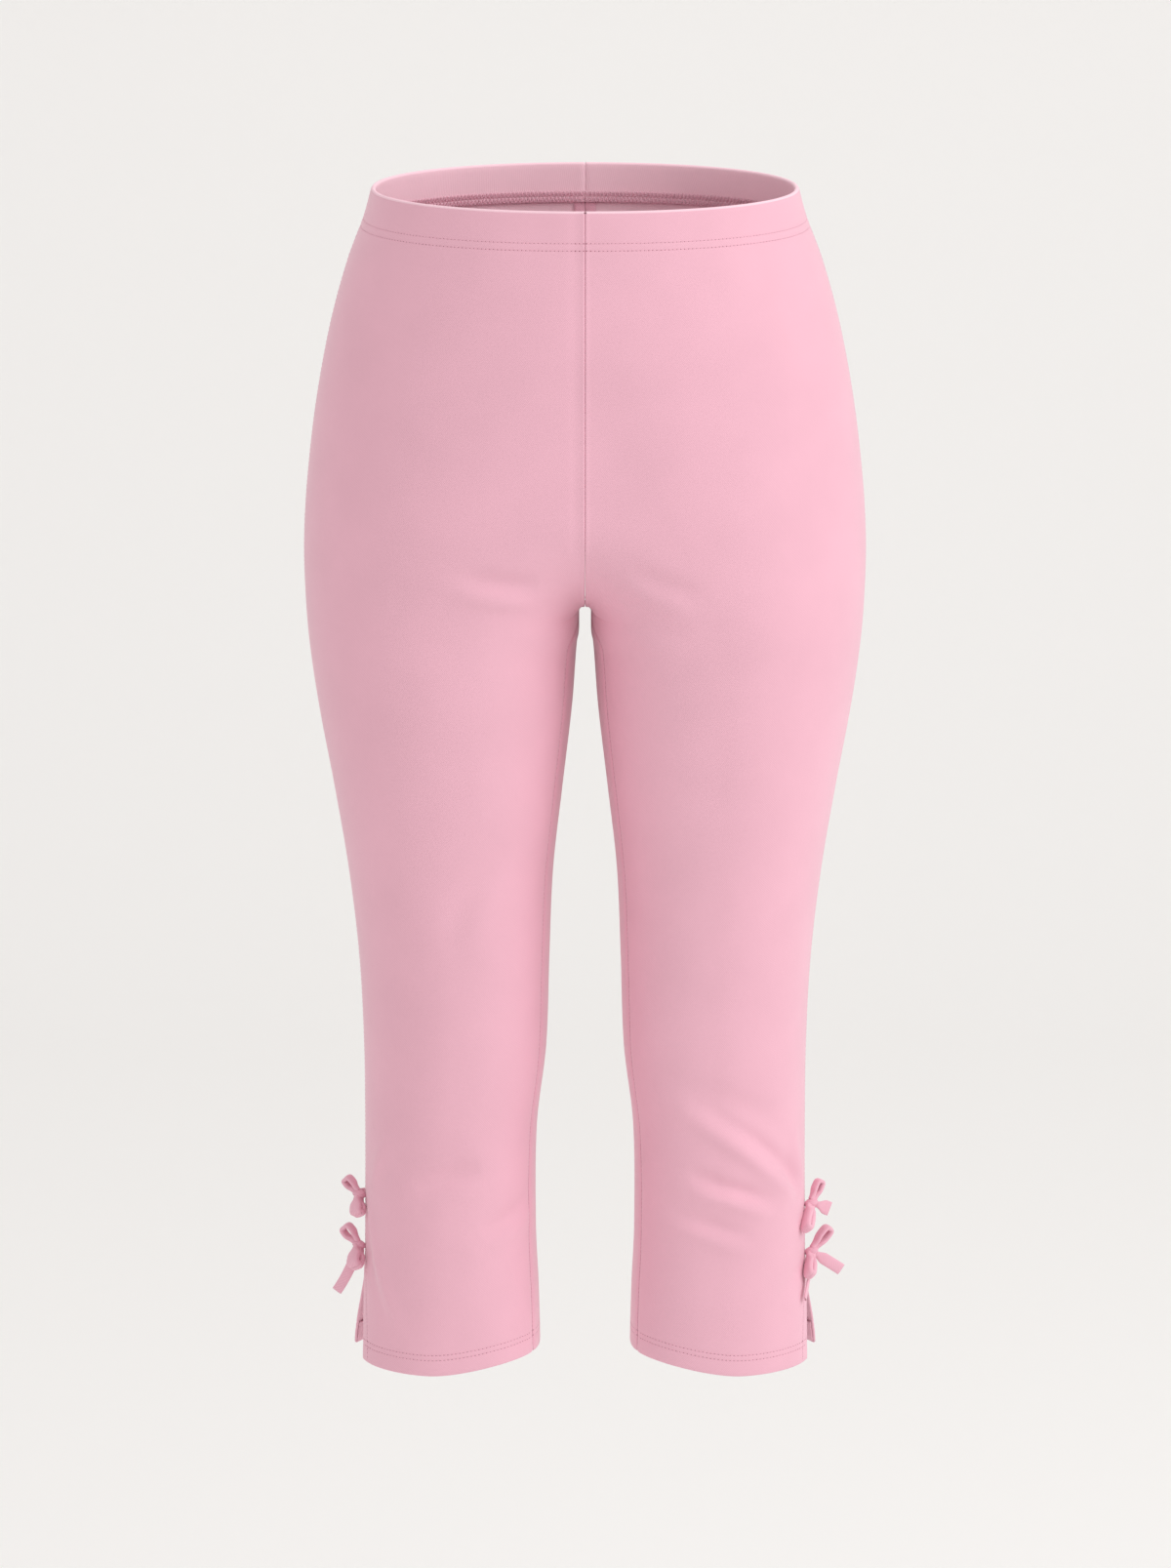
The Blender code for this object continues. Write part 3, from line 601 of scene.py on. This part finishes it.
def build_panel(side, face):
    """One panel as a sheet, turned in at its seams, over at the waist and up at the hem."""
    name = face + "_" + side
    drops, main, normal, places = panel_surface(side, face)
    rows, columns = main.shape[:2]
    left_tangent = unit(main[:, 0] - main[:, 1])
    right_tangent = unit(main[:, -1] - main[:, -2])
    before, after = seam_flaps(main, normal, left_tangent, right_tangent)
    top = waist_layer(drops, main, normal, left_tangent, right_tangent)
    bottom = hem_layer(drops, main, normal, places)
    body = np.concatenate([np.stack(before, 1), main, np.stack(after, 1)], axis=1)
    vertices = np.concatenate([body.reshape(-1, 3)] + top + bottom)

    width = body.shape[1]
    body_ids = np.arange(rows * width).reshape(rows, width)
    top_ids = body_ids.size + np.arange(len(top) * columns).reshape(len(top), columns)
    bottom_ids = body_ids.size + top_ids.size + np.arange(len(bottom) * columns).reshape(len(bottom), columns)
    shown = slice(len(before), len(before) + columns)
    grids = [body_ids, np.concatenate([top_ids[::-1], body_ids[:1, shown]]),
             np.concatenate([body_ids[-1:, shown], bottom_ids])]
    parts = [quads(grid) for grid in grids]
    # the rows turned in at the waist take material 2, the casing colour with painted light
    shades = np.repeat([0, 2, 0], [len(part) for part in parts]).astype(np.int32)
    faces = np.concatenate(parts)
    if SIDES[side] * FACES[face] > 0:
        faces = faces[:, ::-1]
    us, vs = knit_coordinates(drops, main, places, len(before), len(after), len(top), len(bottom))

    mesh = bpy.data.meshes.new(name + "_cloth")
    mesh.from_pydata(vertices.tolist(), [], faces.tolist())
    uv = mesh.uv_layers.new(name="cloth_metres")
    corner = np.empty(len(mesh.loops), dtype=np.int64)
    mesh.loops.foreach_get("vertex_index", corner)
    flat = np.stack([SIDES[side] * us[corner], vs[corner]], axis=1)
    uv.data.foreach_set("uv", flat.ravel().astype(np.float32))
    mesh.shade_smooth()
    mesh.polygons.foreach_set("material_index", shades)
    # the inside and casing materials are paler with painted light
    piece = add_piece(name + "_cloth", mesh, ["outside", "inside", "casing", "inside"])
    wall = piece.modifiers.new("wall", "SOLIDIFY")
    wall.thickness = CLOTH
    wall.offset = -1.0
    # the inner faces take the next material, the inside colour with painted light
    wall.material_offset = 1
    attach(piece, "root")
    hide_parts(name, "casing_" + name, "hem_" + name, "slit_edge_" + name)
    widths = places[:, -1] - places[:, 0]
    area = float(np.trapz(widths + 2 * (SEAM_ROLL * math.pi + EDGE_STEPS[-1]), drops))
    area += float(widths[0]) * CASING_DEPTH + float(widths[-1]) * HEM_DEPTH
    return {"drops": drops, "points": main, "normal": normal, "places": places}


# ---------------------------------------------------------------- stitches
def place_on(surface, row_position, place):
    """A point and its normal on a panel, at a row position and a distance along the row."""
    k = min(int(row_position), len(surface["drops"]) - 2)
    t = row_position - k
    found = []
    for i in (k, k + 1):
        places = surface["places"][i]
        found.append([np.interp(place, places, surface["points"][i, :, c]) for c in range(3)]
                     + [np.interp(place, places, surface["normal"][i, :, c]) for c in range(3)])
    mixed = (1 - t) * np.array(found[0]) + t * np.array(found[1])
    return mixed[:3], mixed[3:] / np.linalg.norm(mixed[3:])


def row_of(surface, drop):
    """The row position of a drop on a panel."""
    return float(np.interp(drop, surface["drops"], np.arange(len(surface["drops"]))))


# Rings of one stroke of thread: share of its length, lift as a share of its rise, share of its radius.
STROKE_RINGS = ((0.0, -0.7, 0.55), (0.22, 0.6, 0.95), (0.5, 1.0, 1.0), (0.78, 0.6, 0.95), (1.0, -0.7, 0.55))
STROKE_SIDES = 5


def thread_mesh(name, strokes, radius):
    """One mesh of short thread strokes: each is a start, an end, an outward direction and a rise."""
    sides = STROKE_SIDES
    vertices = []
    faces = []
    for start, end, out, rise in strokes:
        along = end - start
        length = np.linalg.norm(along)
        if length < 1e-6:
            continue
        along = along / length
        across = np.cross(along, out)
        across /= np.linalg.norm(across)
        up = np.cross(across, along)
        base = len(vertices)
        for t, lift, size in STROKE_RINGS:
            centre = start + along * length * t + up * rise * lift
            for k in range(sides):
                a = 2 * math.pi * k / sides
                vertices.append(centre + (across * math.cos(a) + up * math.sin(a)) * radius * size)
        last = (len(STROKE_RINGS) - 1) * sides
        for ring in range(len(STROKE_RINGS) - 1):
            for k in range(sides):
                a = base + ring * sides + k
                b = base + ring * sides + (k + 1) % sides
                faces.append((a, b, b + sides, a + sides))
        faces.append(tuple(base + k for k in range(sides - 1, -1, -1)))
        faces.append(tuple(base + last + k for k in range(sides)))
    mesh = bpy.data.meshes.new(name)
    mesh.from_pydata([tuple(v) for v in vertices], [], faces)
    mesh.shade_smooth()
    return mesh


def hole_mesh(name, spots, radius):
    """One mesh of needle holes: low domes on the cloth that carry the holes' painted shade."""
    vertices = []
    faces = []
    for centre, out, along in spots:
        across = np.cross(out, along)
        across /= np.linalg.norm(across)
        along = np.cross(across, out)
        base = len(vertices)
        for k in range(6):
            a = math.pi / 3 * k
            rim = (along * math.cos(a) * 1.15 + across * math.sin(a)) * radius
            vertices.append(centre + rim - out * 0.00003)
        vertices.append(centre + out * 0.00005)
        vertices.append(centre - out * 0.00015)
        for k in range(6):
            faces.append((base + k, base + (k + 1) % 6, base + 6))
            faces.append((base + (k + 1) % 6, base + k, base + 7))
    mesh = bpy.data.meshes.new(name)
    mesh.from_pydata([tuple(v) for v in vertices], [], faces)
    mesh.shade_smooth()
    return mesh


def stitch_row(surface, at, strokes, spots):
    """Running stitches through a list of (row position, place) points a small step apart."""
    line = [place_on(surface, *p) for p in at]
    points = np.array([p for p, n in line])
    lengths = np.concatenate([[0], np.cumsum(np.linalg.norm(np.diff(points, axis=0), axis=1))])
    normals = np.array([n for p, n in line])
    count = int(lengths[-1] / STITCH_PITCH)
    for k in range(count):
        ends = []
        for d in (k * STITCH_PITCH, (k + 1) * STITCH_PITCH):
            ends.append((np.array([np.interp(d, lengths, points[:, c]) for c in range(3)]),
                         np.array([np.interp(d, lengths, normals[:, c]) for c in range(3)])))
        (a, out), (b, _) = ends
        along = unit(b - a)
        strokes.append((a + along * STITCH_GAP, b - along * STITCH_GAP, out, STITCH_RISE))
        spots.append((a, out, along))


def whole_row(surface, drop, inset):
    """Points along a whole row of a panel, as row positions and places."""
    row = row_of(surface, drop)
    places = surface["places"][int(row)]
    return [(row, places[0] - inset + t * (places[-1] - places[0])) for t in np.linspace(0.0, 1.0, 90)]


def build_stitches(surfaces):
    """The twin rows at the waist and the hem, and the single row beside each slit."""
    for side in SIDES:
        strokes, spots = [], []
        for face in FACES:
            surface = surfaces[side, face]
            for drop in WAIST_ROWS:
                stitch_row(surface, whole_row(surface, drop, SEAM_ROLL * 0.3), strokes, spots)
        finish_stitches("waist_stitches_" + side, strokes, spots)
        strokes, spots = [], []
        for face in FACES:
            surface = surfaces[side, face]
            for height in HEM_ROWS:
                stitch_row(surface, whole_row(surface, HEM_DROP - height, 0.0), strokes, spots)
            numbers = np.arange(len(surface["drops"]))
            slit_drops = np.linspace(SLIT_TIED - 0.004, HEM_DROP - 0.0015, 40)
            slit_rows = [row_of(surface, drop) for drop in slit_drops]
            at = [(row, np.interp(row, numbers, surface["places"][:, -1]) - SLIT_ROW) for row in slit_rows]
            stitch_row(surface, at, strokes, spots)
        finish_stitches("hem_stitches_" + side, strokes, spots)


def build_looper(surfaces):
    """The dense zigzag of looper threads that covers the edge of the casing inside."""
    top, middle, foot = LOOPER_ROWS
    zigzag = ((0.0, top, middle), (0.5, middle, top), (0.0, middle, foot), (0.5, foot, middle))
    for side, face in surfaces:
        surface = surfaces[side, face]
        strokes = []
        places = surface["places"][int(row_of(surface, middle))]
        length = places[-1] - places[0]
        count = int(length / STITCH_PITCH)
        for k in range(count):
            for shift, high, low in zigzag:
                ends = []
                for drop, step in ((high, shift), (low, shift + 0.5)):
                    place = places[0] + (k + step) * STITCH_PITCH
                    point, out = place_on(surface, row_of(surface, drop), place)
                    ends.append(point - out * (2 * WAIST_ROLL + CLOTH + 0.0001))
                strokes.append((ends[0], ends[1], -out, LOOPER_RISE))
        name = "looper_" + face + "_" + side
        piece = add_piece(name, thread_mesh(name, strokes, LOOPER_RADIUS), ["thread"])
        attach(piece, "root")


def build_seam_groove_shades(surfaces):
    """Painted shade at the bottom of the grooves of the inseam and the side seam, as thin dark strokes."""
    for side in SIDES:
        surface = surfaces[side, "front"]
        drops, points, normal = surface["drops"], surface["points"], surface["normal"]
        strokes = []
        for edge, beside, top, foot in ((0, 1, CROTCH_DROP + 0.006, HEM_DROP - 0.002),
                                        (-1, -2, CASING_DEPTH, SLIT_TIED)):
            outward = unit(points[:, edge] - points[:, beside])
            line = points[:, edge] + outward * SEAM_ROLL - normal[:, edge] * SEAM_ROLL * 0.5
            rows = [k for k in range(len(drops)) if top < drops[k] < foot]
            for k, below in zip(rows[:-1], rows[1:]):
                strokes.append((line[k], line[below], normal[k, edge], 0.0))
        name = "seam_groove_shade_" + side
        piece = add_piece(name, thread_mesh(name, strokes, SEAM_GROOVE_SHADE_RADIUS), ["seam"])
        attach(piece, "root")


def finish_stitches(name, strokes, spots):
    """The threads and the needle holes of some rows, as two pieces."""
    threads = add_piece(name, thread_mesh(name, strokes, THREAD_RADIUS), ["thread"])
    holes = add_piece(name + "_holes", hole_mesh(name + "_holes", spots, HOLE_RADIUS), ["hole"])
    for piece in (threads, holes):
        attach(piece, "root")


# ---------------------------------------------------------------- tie bows
TIE_PINCH = 0.0042
TIE_WALL = 0.0005
TIE_SIDES = 20
# A loop has an opening. Out, forward and up say where it points. Width and thick are the tie's there, and
# bend is its sideways sag.
Strip = namedtuple("Strip", "bow piece out forward up length opening twist width thick bend")
STRIPS = [
    Strip("left_upper", "loop_back", 0.40, -0.30, 0.87, 0.0129, 0.0044, 34, 0.0066, 0.0030, 0),
    Strip("left_upper", "loop_front", -0.14, 0.84, -0.54, 0.0205, 0.0032, -40, 0.0094, 0.0042, 0),
    Strip("left_upper", "tail_front", 0.95, 0.05, -0.24, 0.0088, 0, 80, 0.0096, 0.0026, 0.0008),
    Strip("left_upper", "tail_back", -0.06, -0.84, -0.54, 0.0220, 0, 0, 0.0068, 0.0022, 0),
    Strip("left_lower", "loop_back", 0.62, -0.20, 0.76, 0.0166, 0.0056, 34, 0.0070, 0.0031, 0),
    Strip("left_lower", "loop_front", -0.06, 0.84, -0.56, 0.0180, 0.0032, -30, 0.0092, 0.0042, 0),
    Strip("left_lower", "tail_front", -0.12, 0.56, -0.82, 0.0300, 0, 10, 0.0060, 0.0024, 0.0010),
    Strip("left_lower", "tail_back", 0.84, -0.08, -0.53, 0.0200, 0, 75, 0.0080, 0.0028, 0.0006),
    Strip("right_upper", "loop_back", 0.64, -0.28, 0.71, 0.0102, 0.0052, 38, 0.0070, 0.0030, 0),
    Strip("right_upper", "loop_front", 0.06, 0.66, -0.75, 0.0112, 0.0046, 50, 0.0092, 0.0048, 0),
    Strip("right_upper", "tail_front", -0.06, -0.62, -0.78, 0.0150, 0, 0, 0.0068, 0.0022, 0),
    Strip("right_upper", "tail_back", -0.10, -0.96, -0.24, 0.0200, 0, 0, 0.0068, 0.0022, 0),
    Strip("right_lower", "loop_back", 0.62, -0.25, 0.74, 0.0120, 0.0066, 34, 0.0072, 0.0031, 0),
    Strip("right_lower", "loop_front", 0.14, 0.76, -0.63, 0.0140, 0.0052, 50, 0.0098, 0.0052, 0),
    Strip("right_lower", "tail_front", 0.27, 0.02, -0.96, 0.0310, 0, 75, 0.0070, 0.0026, 0.0060),
    Strip("right_lower", "tail_back", -0.06, -0.90, -0.43, 0.0220, 0, 0, 0.0068, 0.0022, 0),
]


def knot_centre(bow):
    """The middle of a bow's knot, just off the side of the leg."""
    row = {key: value[0] for key, value in section_at(np.array([KNOT_DROPS[bow]])).items()}
    across = KNOT_FORWARD / (row["front"] + row["middle"])
    x = row["front_crest"] + (row["outer"] - row["front_crest"]) * (1 - across**ROUNDNESS)**(1 / ROUNDNESS)
    side = SIDES[bow.split("_")[0]]
    return Vector((side * (x + GAP + 1.01 * KNOT_RADIUS), row["middle"] - KNOT_FORWARD, -KNOT_DROPS[bow]))


def strip_axes(strip):
    """The directions of a loop or tail: along it, across its opening, and across its width."""
    side = SIDES[strip.bow.split("_")[0]]
    along = Vector((side * strip.out, -strip.forward, strip.up)).normalized()
    outward = Vector((side, 0, 0))
    spread = (outward - along * outward.dot(along)).normalized()
    spread = Matrix.Rotation(math.radians(side * strip.twist), 3, along) @ spread
    return along, spread, along.cross(spread)


def tube_rings(path, across, widths, thicknesses):
    """Rings of a flattened tube along a path. The width runs along the given axis."""
    rings = []
    for k, centre in enumerate(path):
        run = (path[min(k + 1, len(path) - 1)] - path[max(k - 1, 0)]).normalized()
        wide = (across - run * across.dot(run)).normalized()
        thick = run.cross(wide)
        ring = []
        for j in range(TIE_SIDES):
            a = 2 * math.pi * j / TIE_SIDES
            w = math.copysign(abs(math.cos(a))**0.75, math.cos(a)) * widths[k] / 2
            h = math.copysign(abs(math.sin(a))**0.85, math.sin(a)) * thicknesses[k] / 2
            ring.append(centre + wide * w + thick * h)
        rings.append(ring)
    return rings


def tube_mesh(name, rings):
    """A sheet rolled into a tube, open at both ends, to be given its wall."""
    sides = len(rings[0])
    sheet = bmesh.new()
    made = [[sheet.verts.new(p) for p in ring] for ring in rings]
    uv = sheet.loops.layers.uv.new("cloth_metres")
    for i in range(len(made) - 1):
        for j in range(sides):
            k = (j + 1) % sides
            face = sheet.faces.new((made[i][j], made[i][k], made[i + 1][k], made[i + 1][j]))
            for loop, (u, v) in zip(face.loops, ((j, i), (j + 1, i), (j + 1, i + 1), (j, i + 1))):
                loop[uv].uv = (u * 0.0008, v * 0.0011)
    bmesh.ops.recalc_face_normals(sheet, faces=sheet.faces)
    mesh = bpy.data.meshes.new(name)
    sheet.to_mesh(mesh)
    sheet.free()
    mesh.shade_smooth()
    return mesh


def build_strip(strip):
    """One loop or tail: a flattened tube of cloth that starts inside the knot."""
    name = strip.piece + "_" + strip.bow
    along, spread, across = strip_axes(strip)
    centre = knot_centre(strip.bow)
    start = KNOT_RADIUS * 0.55
    reach = KNOT_RADIUS + GAP + strip.length
    if strip.opening:
        half = strip.opening / 2
        out = [(start, 0.0010), (start + 0.30 * strip.length, 0.60 * half),
               (start + 0.62 * strip.length, half), (reach - 0.16 * strip.length, 0.86 * half)]
        profile = out + [(reach - strip.thick / 2, 0.0)] + [(a, -b) for a, b in reversed(out)]
    else:
        profile = [(start, 0.0), (start + 0.35 * strip.length, 0.0007), (start + 0.7 * strip.length, 0.0004),
                   (reach, -0.0002)]
    flat = smooth_path([np.array(p) for p in profile], 7)
    bends = [strip.bend * float(min(a / reach, 1.0))**2 for a, b in flat]
    path = [centre + along * float(a) + spread * float(b) + across * c for (a, b), c in zip(flat, bends)]
    grow = [float(smoothstep((a - KNOT_RADIUS) / 0.006)) for a, b in flat]
    widths = [TIE_PINCH + (strip.width - TIE_PINCH) * g for g in grow]
    thicknesses = [strip.thick * (1.15 - 0.15 * g) for g in grow]
    if not strip.opening:
        thicknesses = [t * (1 - 0.30 * g) for t, g in zip(thicknesses, grow)]
    rings = tube_rings(path, across, widths, thicknesses)
    mesh = tube_mesh(name + "_cloth", rings)
    piece = add_piece(name + "_cloth", mesh, ["tie"])
    wall = piece.modifiers.new("wall", "SOLIDIFY")
    wall.thickness = TIE_WALL
    wall.offset = -1.0
    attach(piece, "root")
    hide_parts(name)
    length = sum((b - a).length for a, b in zip(path, path[1:]))
    around = [sum((b - a).length for a, b in zip(ring, ring[1:] + ring[:1])) for ring in rings]
    flat = (round(sum(around) / len(around), 4), round(length, 4))


def build_knot(bow):
    """The wrap of the bow: a soft barrel with a rounded belly and a crease where the tie crosses."""
    name = "knot_" + bow
    centre = knot_centre(bow)
    side = SIDES[bow.split("_")[0]]
    ball = bmesh.new()
    bmesh.ops.create_uvsphere(ball, u_segments=40, v_segments=24, radius=1.0)
    for vertex in ball.verts:
        p = vertex.co.copy()
        belly = 1.0 + 0.10 * math.exp(-((p.x * side + 0.15) / 0.35)**2)
        groove = 1.0 - 0.10 * math.exp(-((p.x * 0.35 + p.z + 0.42) / 0.13)**2)
        p.x *= 1.18 * groove
        p.y *= 1.04 * groove
        p.z *= 0.70 * belly
        p.z += 0.20 * p.x * side
        vertex.co = centre + p * KNOT_RADIUS
    mesh = bpy.data.meshes.new(name + "_cloth")
    ball.to_mesh(mesh)
    ball.free()
    mesh.shade_smooth()
    piece = add_piece(name + "_cloth", mesh, ["tie"])
    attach(piece, "root")
    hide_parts(name)


# ---------------------------------------------------------------- stage, light and camera
VIEW_ELEVATION = 12.0
VIEW_DISTANCE = 4.0
VIEW_HEIGHT = 1.0285      # height of the picture at the garment
VIEW_TARGET = (0.0003, 0.0, -0.3948)
FLOOR = -1.55
PAPER_FRONT = -14.0       # front edge of the floor
PAPER_BEND = 3.8          # where the floor starts to curve up
PAPER_RADIUS = 1.4
PAPER_TOP = 7.0
PAPER_SIDE = 13.0
PAPER = (0.950, 0.940, 0.930, 1.0)
WORLD = (1.0, 0.985, 0.97, 1.0)
WORLD_STRENGTH = 0.71
MIDDLE = (0, 0, -0.35)
Lamp = namedtuple("Lamp", "name place target size power")
LAMPS = [
    Lamp("key", (3.05, -1.50, 1.8), MIDDLE, 2.4, 79),
    Lamp("fill", (-2.4, -2.8, 0.5), MIDDLE, 2.2, 9),
    Lamp("paper", (0.0, 1.2, 3.2), (0, 5.0, -0.4), 2.5, 22),
]


def build_camera():
    data = bpy.data.cameras.new("camera")
    data.angle = 2 * math.atan(VIEW_HEIGHT / 2 / VIEW_DISTANCE)
    camera = bpy.data.objects.new("camera", data)
    bpy.context.scene.collection.objects.link(camera)
    a = math.radians(VIEW_ELEVATION)
    target = Vector(VIEW_TARGET)
    camera.location = target + Vector((0, -math.cos(a), math.sin(a))) * VIEW_DISTANCE
    camera.rotation_euler = (target - camera.location).to_track_quat("-Z", "Y").to_euler()
    bpy.context.scene.camera = camera


def build_stage():
    """A pale floor that curves up into a backdrop, beyond where any view is taken from."""
    profile = [(PAPER_FRONT, FLOOR), (PAPER_BEND, FLOOR)]
    for k in range(1, 13):
        a = math.pi / 2 * k / 12
        profile.append((PAPER_BEND + PAPER_RADIUS * math.sin(a), FLOOR + PAPER_RADIUS * (1 - math.cos(a))))
    profile.append((PAPER_BEND + PAPER_RADIUS, PAPER_TOP))
    vertices = [(x, y, z) for y, z in profile for x in (-PAPER_SIDE, PAPER_SIDE)]
    faces = [(2 * k, 2 * k + 1, 2 * k + 3, 2 * k + 2) for k in range(len(profile) - 1)]
    mesh = bpy.data.meshes.new("backdrop")
    mesh.from_pydata(vertices, [], faces)
    mesh.shade_smooth()
    material = bpy.data.materials.new("pale_paper")
    material.use_nodes = True
    shader = material.node_tree.nodes["Principled BSDF"]
    shader.inputs["Base Color"].default_value = PAPER
    shader.inputs["Roughness"].default_value = 0.95
    mesh.materials.append(material)
    stage = bpy.data.objects.new("backdrop", mesh)
    bpy.context.scene.collection.objects.link(stage)


def build_lamp(lamp):
    """A square soft light."""
    data = bpy.data.lights.new(lamp.name, "AREA")
    data.shape = "SQUARE"
    data.size = lamp.size
    data.energy = lamp.power
    light = bpy.data.objects.new(lamp.name, data)
    light.location = lamp.place
    light.rotation_euler = (Vector(lamp.target) - Vector(lamp.place)).to_track_quat("-Z", "Y").to_euler()
    bpy.context.scene.collection.objects.link(light)


def build_world():
    world = bpy.data.worlds.new("world")
    bpy.context.scene.world = world
    world.use_nodes = True
    back = world.node_tree.nodes["Background"]
    back.inputs["Color"].default_value = WORLD
    back.inputs["Strength"].default_value = WORLD_STRENGTH


bpy.context.scene.view_settings.view_transform = "Standard"
build_camera()
surfaces = {(side, face): build_panel(side, face) for side in SIDES for face in FACES}
build_stitches(surfaces)
build_looper(surfaces)
build_seam_groove_shades(surfaces)
for strip in STRIPS:
    build_strip(strip)
for bow in KNOT_DROPS:
    build_knot(bow)
build_stage()
build_world()
for lamp in LAMPS:
    build_lamp(lamp)
